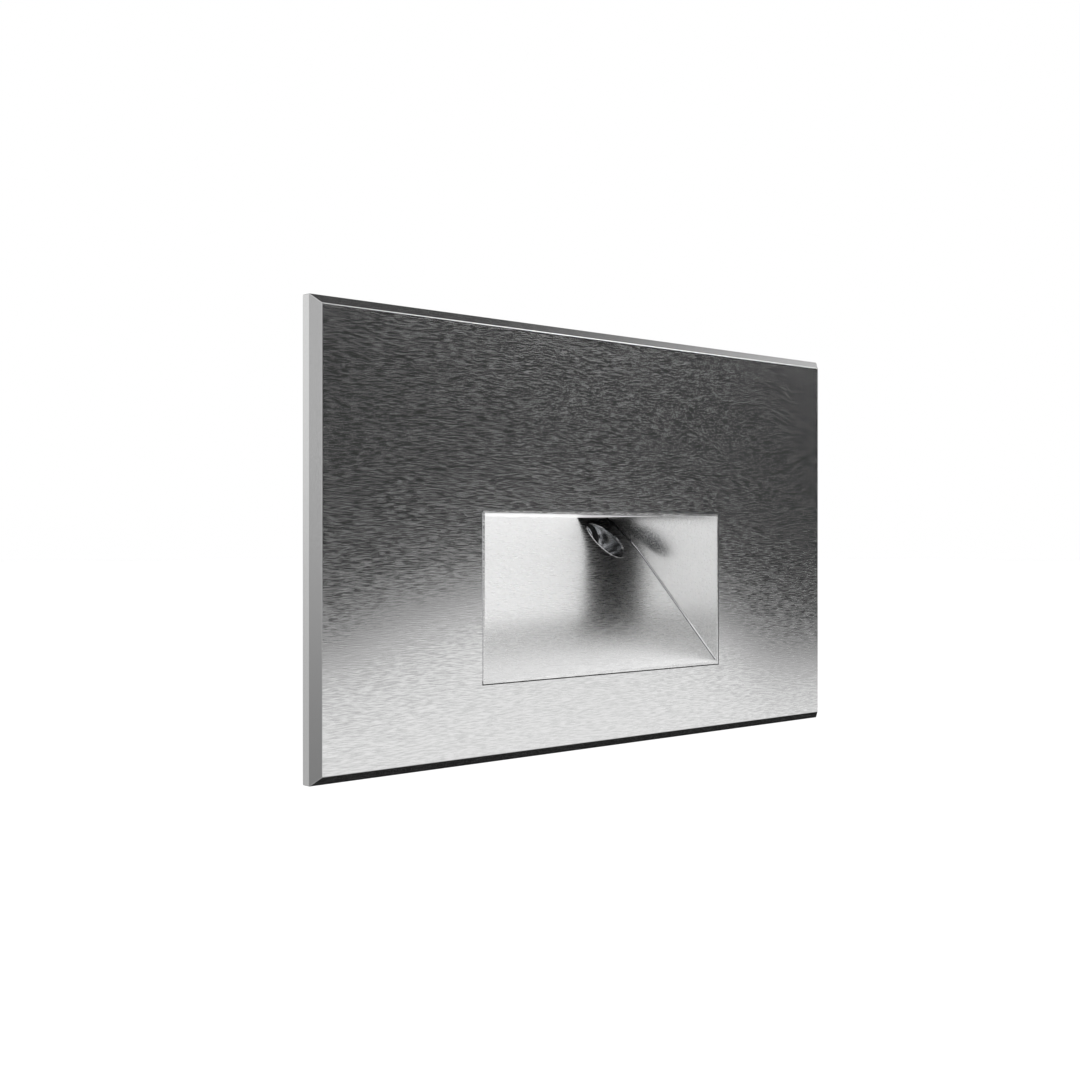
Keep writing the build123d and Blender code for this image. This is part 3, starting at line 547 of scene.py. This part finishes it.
# its 0.35 lightens the outer edges, as worn metal and as a painted edge highlight
CAST_ALLOY = Finish((0.5, 0.51, 0.52), (0.37, 0.38, 0.39), 0.5, 0.08, 0.00003, 0.9, 0.0006, 0.35, 0.06)
TURNED_ALLOY = TurnedMetal((0.78, 0.79, 0.8), (0.62, 0.63, 0.64), 0.16, 0.03, 0.000001)
BRIGHT_RING = TurnedMetal((0.9, 0.9, 0.91), (0.8, 0.8, 0.82), 0.08, 0.02, 0.0000005)
BRASS = PlatedMetal((0.8, 0.62, 0.3), (0.62, 0.45, 0.2), 0.3, 0.06, 0.000002)
BLACK_FOAM = Foam((0.045, 0.045, 0.047), (0.02, 0.02, 0.02), 0.9, 0.04, 0.00015, grain=0.0006)
BLACK_RUBBER = Finish(
    (0.035, 0.035, 0.037), (0.02, 0.02, 0.021), 0.62, 0.06, 0.00001, grain=0.0004, dust=0.12
)
GREY_SILICONE = Finish((0.11, 0.11, 0.12), (0.08, 0.08, 0.085), 0.5, 0.05, 0.000006)
PAD_SILICONE = Finish((0.42, 0.5, 0.58), (0.34, 0.42, 0.5), 0.7, 0.05, 0.00001)
HOLDER_BLACK = Finish((0.016, 0.016, 0.017), (0.01, 0.01, 0.01), 0.4, 0.05, 0.000004, grain=0.0003)
CASE_BLACK = Finish((0.05, 0.05, 0.053), (0.035, 0.035, 0.037), 0.48, 0.06, 0.00001, grain=0.0004, dust=0.1)
CHIP_BLACK = Finish((0.03, 0.03, 0.031), (0.02, 0.02, 0.02), 0.6, 0.05, 0.000006, grain=0.0002)
CONNECTOR_WHITE = Finish((0.85, 0.84, 0.79), (0.78, 0.77, 0.72), 0.35, 0.05, 0.000003, grain=0.0005)
BLOCK_GREY = Finish((0.66, 0.67, 0.66), (0.58, 0.59, 0.58), 0.4, 0.06, 0.000005, grain=0.0006)
CAPACITOR_SLEEVE = Finish((0.06, 0.075, 0.13), (0.04, 0.05, 0.1), 0.3, 0.05, 0.000004)
MASK_WHITE = BoardMask((0.84, 0.85, 0.84), (0.72, 0.73, 0.72), 0.35, 0.04, 0.00002)
MASK_GREEN = BoardMask((0.03, 0.2, 0.08), (0.05, 0.3, 0.12), 0.3, 0.05, 0.00003)
FERRITE = Finish((0.09, 0.09, 0.092), (0.06, 0.06, 0.06), 0.55, 0.06, 0.00001, grain=0.0003)
PHOSPHOR = Finish((0.88, 0.72, 0.2), (0.82, 0.62, 0.12), 0.4, 0.08, 0.00002, grain=0.0002)
CLEAR_OPTIC = ClearOptic((0.97, 0.98, 0.98), (0.94, 0.95, 0.96), 0.05, 0.02, 0.000001)


def piece_from_rings(
    name: str, rings: list[list[Vector]], slot: str, closed: bool = False
) -> bpy.types.Object:
    """Make a piece of the wall unit from rings of points of one count.

    Args:
        name: the piece's name.
        rings: the rings in order, in metres.
        slot: the record's material slot that it takes its finish from.
        closed: whether the last ring joins the first, where the ends are capped otherwise.

    Returns:
        The piece.
    """
    mesh = bpy.data.meshes.new(name)
    build = bmesh.new()
    loops = [[build.verts.new(point) for point in ring] for ring in rings]
    followers = loops[1:] + loops[:1] if closed else loops[1:]
    for near, far in zip(loops, followers):
        for index in range(len(near)):
            after = (index + 1) % len(near)
            build.faces.new((near[index], near[after], far[after], far[index]))
    if not closed:
        build.faces.new(list(reversed(loops[0])))
        build.faces.new(loops[-1])
    bmesh.ops.recalc_face_normals(build, faces=build.faces)
    build.to_mesh(mesh)
    build.free()
    piece = bpy.data.objects.new(name, mesh)
    bpy.context.scene.collection.objects.link(piece)
    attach(piece, WALL_UNIT)
    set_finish(piece, slot)
    return piece


def bead_rings(line: list[Vector], radius: float, sides: int, closed: bool = False) -> list[list[Vector]]:
    """Rings of a round bead along a line.

    Args:
        line: the bead's middle, in metres.
        radius: the bead's radius, in metres.
        sides: how many sides the bead has.
        closed: whether the line comes back to its start.

    Returns:
        One ring for each point of the line.
    """
    rings = []
    last = len(line) - 1
    for index, point in enumerate(line):
        before = line[index - 1] if index or closed else point
        after = line[(index + 1) % len(line)] if index < last or closed else point
        along = (after - before).normalized()
        out = along.cross(Vector((0.0, 1.0, 0.3))).normalized()
        up = along.cross(out)
        turns = [2.0 * math.pi * side / sides for side in range(sides)]
        rings.append([point + (out * math.cos(turn) + up * math.sin(turn)) * radius for turn in turns])
    return rings


@dataclass(frozen=True)
class HopperFloor:
    """The hopper's sloped floor in section, in millimetres: a straight part, then an arc up to the crease."""

    front: float = -3.1
    sill: float = -23.6
    bend: float = 15.9
    bend_rise: float = 19.5
    crease: float = 27.1
    ceiling: float = 4.6
    nose: float = 0.3

    def arc(self) -> tuple[float, float, float]:
        """Work out the arc that meets the straight part smoothly.

        Returns:
            The slope where it starts, the slope where it ends, and its radius.
        """
        start = math.atan2(self.bend_rise, self.bend - self.front)
        across = self.crease - self.bend
        up = self.ceiling - self.sill - self.bend_rise
        chord = math.atan2(up, across)
        return start, 2.0 * chord - start, math.hypot(across, up) / (2.0 * math.sin(start - chord))

    def on_arc(self, slope: float) -> tuple[float, float]:
        """Find a point of the arc.

        Args:
            slope: the arc's slope there.

        Returns:
            Its depth and height.
        """
        start, _, radius = self.arc()
        depth = self.bend + radius * (math.sin(start) - math.sin(slope))
        return depth, self.sill + self.bend_rise + radius * (math.cos(slope) - math.cos(start))

    def depth(self, height: float) -> float:
        """Find the depth of the floor's curved part.

        Args:
            height: the height at which it is wanted.

        Returns:
            The depth.
        """
        start, _, radius = self.arc()
        rise = height - self.sill - self.bend_rise
        return self.on_arc(math.acos(math.cos(start) + rise / radius))[0]

    def side_line(self, x: float, steps: int) -> list[Vector]:
        """Points along the floor beside a wall.

        Args:
            x: the wall's place.
            steps: how many parts the arc is split into.

        Returns:
            The points, in metres, from just behind the front to the crease.
        """
        start, end, _ = self.arc()
        line = [Vector((x, self.front + self.nose, self.sill + self.nose * math.tan(start))) * MM]
        for step in range(steps + 1):
            depth, height = self.on_arc(start + (end - start) * step / steps)
            line.append(Vector((x, depth, height)) * MM)
        return line


class SubAssembly:
    """Pieces that go together, with the finishes of their CAD nodes."""

    finishes: dict[str, Finish] = {}

    def build(self) -> list[bpy.types.Object]:
        """Make the pieces that the CAD nodes don't show: none here."""
        return []

    def dress(self, effects: Effects) -> None:
        """Give each CAD node, and each new piece with its slot, its material.

        Args:
            effects: the shared groups.
        """
        materials = {node: finish.material(node, effects) for node, finish in self.finishes.items()}
        for node, material in materials.items():
            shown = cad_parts[node]
            shown.data.materials.clear()
            shown.data.materials.append(material)
            LOG.info("%s has its finish", node)
        for piece in self.build():
            piece.data.materials.clear()
            piece.data.materials.append(materials[piece["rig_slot"]])
            LOG.info("%s is built", piece.name)


@dataclass
class Front(SubAssembly):
    """The faceplate."""

    finishes = {"faceplate": PLATE_STEEL}


@dataclass
class Mounting(SubAssembly):
    """The strap on the wall box, its magnets, gasket and screws."""

    finishes = {
        "mounting_strap": ZINC_SHEET,
        "plate_magnets": NICKEL,
        "wall_gasket": BLACK_FOAM,
        "housing_screws": ZINC_SCREW,
    }


@dataclass
class Optic(SubAssembly):
    """The hopper, its bore and what lies in it. Sizes are in millimetres."""

    floor: HopperFloor = HopperFloor()
    wall: float = 29.65
    corner_bead: float = 0.22
    # size of the black lines of painted shade beside the seam beads
    painted_shade_size: float = 0.07
    edge: tuple[float, float] = (-30.1, -2.99)
    edge_bead: float = 0.1
    bore: tuple[float, float] = (22.8, -0.1)
    bore_radius: float = 3.45
    rim_bead: float = 0.07
    facet_front: float = 26.75
    facet_back: float = 27.08
    facet_radii: tuple[float, float, float] = (0.8, 1.7, 2.55)
    facet_lip: float = 0.02
    facets: int = 14
    floor_steps: int = 16
    rim_steps: int = 64

    finishes = {
        "optic_insert": HOPPER_STEEL,
        "optic_barrel": TURNED_ALLOY,
        # black sheet over a cut-out in the ceiling above the bore: painted shade, which the floor reflects as
        # the dark band under the bore
        "glare_shade": HOLDER_BLACK,
        "lens_holder": HOLDER_BLACK,
        "lens_seal": BLACK_RUBBER,
        "lens_bezel": BRIGHT_RING,
        "lens": CLEAR_OPTIC,
        "led_package": PHOSPHOR,
        "led_board": MASK_WHITE,
        "led_connector": CONNECTOR_WHITE,
        "thermal_pad": PAD_SILICONE,
        "board_screws": ZINC_SCREW,
    }

    def build(self) -> list[bpy.types.Object]:
        """Make the seams beside the floor with their black lines of painted shade, the sheet's left edge, the
        bore's rim and the optic's facets.

        Returns:
            The pieces.
        """
        seams = [self.seam(side) for side in (1, -1)]
        painted_shade_lines = [self.gap(side) for side in (1, -1)]
        return [*seams, *painted_shade_lines, self.left_edge(), self.rim(), self.facet_ring()]

    def seam(self, side: int) -> bpy.types.Object:
        """Make the fine bead along the corner between the floor and a wall.

        Args:
            side: 1 for the right wall and -1 for the left.

        Returns:
            The piece.
        """
        line = self.floor.side_line(side * self.wall, self.floor_steps)
        name = "seam_right" if side > 0 else "seam_left"
        return piece_from_rings(name, bead_rings(line, self.corner_bead * MM, 8), "lens_bezel")

    def gap(self, side: int) -> bpy.types.Object:
        """Make the black line of painted shade between that bead and the floor.

        Args:
            side: 1 for the right wall and -1 for the left.

        Returns:
            The piece.
        """
        place = side * (self.wall - self.corner_bead - self.painted_shade_size / 2)
        line = self.floor.side_line(place, self.floor_steps)
        name = "painted_shade_right" if side > 0 else "painted_shade_left"
        # painted shade: a black bead stands for the shaded crease beside the seam
        return piece_from_rings(name, bead_rings(line, self.painted_shade_size * MM, 6), "lens_holder")

    def left_edge(self) -> bpy.types.Object:
        """Make the dressed left edge of the sheet, which fills the gap beside the window there.

        Returns:
            The piece.
        """
        x, y = self.edge
        line = [Vector((x, y, z)) * MM for z in (self.floor.sill, self.floor.ceiling)]
        return piece_from_rings("sheet_edge", bead_rings(line, self.edge_bead * MM, 8), "lens_bezel")

    def rim(self) -> bpy.types.Object:
        """Make the turned edge of the bore, where it comes through the floor.

        Returns:
            The piece.
        """
        x, z = self.bore
        line = []
        for step in range(self.rim_steps):
            turn = 2.0 * math.pi * step / self.rim_steps
            across = x + self.bore_radius * math.cos(turn)
            height = z + self.bore_radius * math.sin(turn)
            line.append(Vector((across, self.floor.depth(height), height)) * MM)
        rings = bead_rings(line, self.rim_bead * MM, 6, closed=True)
        return piece_from_rings("bore_rim", rings, "lens_bezel", closed=True)

    def facet_ring(self) -> bpy.types.Object:
        """Make the raised facets round the optic's face, every second one set back.

        Returns:
            The piece.
        """
        x, z = self.bore
        rings = []
        for index in range(2 * self.facets):
            turn = math.pi * index / self.facets
            base = self.facet_back
            lift = self.facet_front if index % 2 else base
            inner, middle, outer = self.facet_radii
            profile = [(inner, base), (middle, lift), (outer, base), (middle, base + self.facet_lip)]
            place = [(x + r * math.cos(turn), y, z + r * math.sin(turn)) for r, y in profile]
            rings.append([Vector(point) * MM for point in place])
        return piece_from_rings("optic_facets", rings, "lens_bezel", closed=True)


@dataclass
class Housing(SubAssembly):
    """The die-cast shell, its seal, grommet and earth screw."""

    finishes = {
        "rear_housing": CAST_ALLOY,
        "housing_seal": GREY_SILICONE,
        "cable_grommet": BLACK_RUBBER,
        "earth_screw": BRASS,
    }


@dataclass
class Driver(SubAssembly):
    """The power supply in its tray and the terminal block beside it."""

    finishes = {
        "driver_case": CASE_BLACK,
        "driver_lid": CASE_BLACK,
        "driver_board": MASK_GREEN,
        "driver_inductor": FERRITE,
        "driver_capacitors": CAPACITOR_SLEEVE,
        "driver_chips": CHIP_BLACK,
        "output_connector": CONNECTOR_WHITE,
        "driver_screws": ZINC_SCREW,
        "terminal_block": BLOCK_GREY,
        "terminal_screws": ZINC_SCREW,
    }


@dataclass
class Viewpoint:
    """The camera."""

    place: tuple[float, float, float] = (-0.1859, -0.1869, 0.0)
    look: tuple[float, float, float] = (0.6763, 0.7366, 0.0)
    lens: float = 48.1

    def build(self) -> None:
        """Make the camera and set it as the scene's."""
        data = bpy.data.cameras.new("camera")
        data.lens = self.lens
        data.clip_start = 0.01
        camera = bpy.data.objects.new("camera", data)
        bpy.context.scene.collection.objects.link(camera)
        camera.location = self.place
        camera.rotation_euler = Vector(self.look).to_track_quat("-Z", "Y").to_euler()
        bpy.context.scene.camera = camera
        LOG.info("camera is placed")


@dataclass(frozen=True)
class Ramp:
    """A smooth change from one level, below a place, to another, above a second place."""

    low: float
    high: float
    start: float = 0.0
    end: float = 1.0

    def over(self, wiring: Wiring, value: Feed) -> Socket:
        """The level at a value."""
        return wiring.slide(value, self.low, self.high, self.start, self.end)


@dataclass
class Studio:
    """A pale floor, a white surround and one soft lamp.

    The ramps give what shiny surfaces see in each direction, by the parts x, y and z of that direction.
    """

    floor_drop: float = 0.2
    floor_size: float = 30.0
    floor_tones: tuple[Colour, Colour] = ((0.83, 0.83, 0.83), (0.86, 0.86, 0.86))
    floor_speck: float = 400.0
    floor_glow: float = 0.4
    ambient: float = 0.75
    lamp_power: float = 4.0
    lamp_size: float = 0.9
    lamp_place: tuple[float, float, float] = (0.35, -0.6, 0.8)
    to_right: Ramp = Ramp(-0.12, 0.12)              # by x
    ground: Ramp = Ramp(-0.06, -0.01, 1.15, 0.05)   # from the ground on the right to the sky, by z
    horizon_turn: float = 0.972                     # |x| / |y| where the ground stands highest
    horizon_sag: float = 0.6
    horizon_reach: float = 0.083
    to_overhead: Ramp = Ramp(0.25, 0.45)            # by z
    overhead: tuple[float, float, float] = (2.95, 3.25, 3.0)    # level, its fall with z and its fall with y
    overhead_limits: Range = (0.08, 1.02)
    softbox: float = 10.0
    softbox_lean: float = 0.78
    softbox_top: Ramp = Ramp(-0.08, 0.04, 1.0, 0.0)             # by z + lean * y
    softbox_left: Ramp = Ramp(0.5, 0.78)                        # by x
    softbox_bottom: Ramp = Ramp(0.25, 0.32)                     # by z
    to_underneath: Ramp = Ramp(0.25, 0.5)                       # by -z
    underneath: float = -5.3                                    # its rise with y
    underneath_limits: Range = (0.02, 0.7)
    left: Ramp = Ramp(0.983, 1.061, 0.9, 0.64)                  # by |x| / |y|
    left_shade: Ramp = Ramp(-0.18, 0.1, 0.45, 1.0)              # by z
    to_behind: Ramp = Ramp(-0.1, 0.1)                           # by y
    behind: Ramp = Ramp(-0.15, 0.15, 0.63, 1.0)                 # by z

    def reflections(self, wiring: Wiring) -> Socket:
        """What shiny surfaces see in each direction.

        Args:
            wiring: the world's wiring.

        Returns:
            The brightness.
        """
        x, y, z = wiring.apart(wiring.node("ShaderNodeTexCoord").outputs["Generated"])
        turn = wiring.calc("DIVIDE", wiring.calc("ABSOLUTE", x), wiring.calc("ABSOLUTE", y))
        right = self.right_half(wiring, (x, y, z), turn)
        left = wiring.times(self.left.over(wiring, turn), self.left_shade.over(wiring, z))
        left = wiring.mix(self.to_behind.over(wiring, y), left, self.behind.over(wiring, z))
        return wiring.mix(self.to_right.over(wiring, x), left, right)

    def right_half(self, wiring: Wiring, way: tuple[Socket, Socket, Socket], turn: Socket) -> Socket:
        """What shiny surfaces see on the right: ground, sky, softbox, overhead and underneath.

        Args:
            wiring: the world's wiring.
            way: the direction's three parts.
            turn: |x| / |y|.

        Returns:
            The brightness.
        """
        x, y, z = way
        aside = wiring.calc("SUBTRACT", turn, self.horizon_turn)
        sag = wiring.calc("MINIMUM", wiring.times(aside, aside), self.horizon_reach)
        level = self.ground.over(wiring, wiring.calc("ADD", z, wiring.times(sag, self.horizon_sag)))
        most, by_z, by_y = self.overhead
        fall = wiring.calc("ADD", wiring.times(z, by_z), wiring.times(y, by_y))
        high = wiring.limit(wiring.calc("SUBTRACT", most, fall), *self.overhead_limits)
        right = wiring.mix(self.to_overhead.over(wiring, z), level, high)
        steep = wiring.calc("ADD", z, wiring.times(y, self.softbox_lean))
        box = wiring.times(self.softbox_top.over(wiring, steep), self.softbox_left.over(wiring, x))
        right = wiring.mix(wiring.times(box, self.softbox_bottom.over(wiring, z)), right, self.softbox)
        low = wiring.limit(wiring.times(y, self.underneath), *self.underneath_limits)
        return wiring.mix(self.to_underneath.over(wiring, wiring.times(z, -1.0)), right, low)

    def build(self) -> None:
        """Make the floor, the lamp and the world."""
        self.build_floor()
        self.build_world()
        self.build_lamp()
        bpy.context.scene.view_settings.view_transform = "Standard"
        LOG.info("studio is lit")

    def build_floor(self) -> None:
        """A wide pale floor, white to the camera except where the object shades it."""
        half = self.floor_size / 2
        corners = [(-half, -half), (half, -half), (half, half), (-half, half)]
        height = cad_box[0][2] - self.floor_drop
        mesh = bpy.data.meshes.new("floor")
        mesh.from_pydata([(x, y, height) for x, y in corners], [], [(0, 1, 2, 3)])
        floor = bpy.data.objects.new("floor", mesh)
        bpy.context.scene.collection.objects.link(floor)
        material = bpy.data.materials.new("floor")
        material.use_nodes = True
        wiring = Wiring(material.node_tree)
        shader = material.node_tree.nodes["Principled BSDF"]
        speck = {"Vector": wiring.place(), "Scale": self.floor_speck, "Detail": 3.0}
        specks = wiring.node("ShaderNodeTexNoise", speck).outputs[0]
        wiring.feed(shader, "Base Color", wiring.blend(specks, *self.floor_tones))
        shader.inputs["Roughness"].default_value = 0.9
        shader.inputs["Emission Color"].default_value = (*WHITE, 1.0)
        seen = wiring.node("ShaderNodeLightPath").outputs[Ray.CAMERA.value]
        wiring.feed(shader, "Emission Strength", wiring.times(seen, self.floor_glow))
        mesh.materials.append(material)
        floor.visible_glossy = False

    def build_world(self) -> None:
        """White to the camera and through clear pieces, and a soft studio in reflections."""
        world = bpy.data.worlds.new("studio")
        world.use_nodes = True
        bpy.context.scene.world = world
        wiring = Wiring(world.node_tree)
        rays = wiring.node("ShaderNodeLightPath").outputs
        level = wiring.mix(rays[Ray.GLOSSY.value], self.ambient, self.reflections(wiring))
        seen = wiring.calc("MAXIMUM", rays[Ray.CAMERA.value], rays[Ray.TRANSMISSION.value])
        wiring.feed(world.node_tree.nodes["Background"], "Strength", wiring.mix(seen, level, 1.0))
        world.node_tree.nodes["Background"].inputs["Color"].default_value = (*WHITE, 1.0)

    def build_lamp(self) -> None:
        """One large soft lamp above the front."""
        data = bpy.data.lights.new("lamp", "AREA")
        data.energy = self.lamp_power
        data.size = self.lamp_size
        lamp = bpy.data.objects.new("lamp", data)
        bpy.context.scene.collection.objects.link(lamp)
        lamp.location = self.lamp_place
        lamp.rotation_euler = (-Vector(self.lamp_place)).to_track_quat("-Z", "Y").to_euler()
        lamp.visible_glossy = False


def main() -> None:
    """Build the scene, sub-assembly by sub-assembly."""
    logging.basicConfig(level=logging.INFO, format="%(message)s")
    Viewpoint().build()
    Studio().build()
    effects = Effects()
    for unit in (Front(), Mounting(), Optic(), Housing(), Driver()):
        unit.dress(effects)


if __name__ == "__main__":
    main()
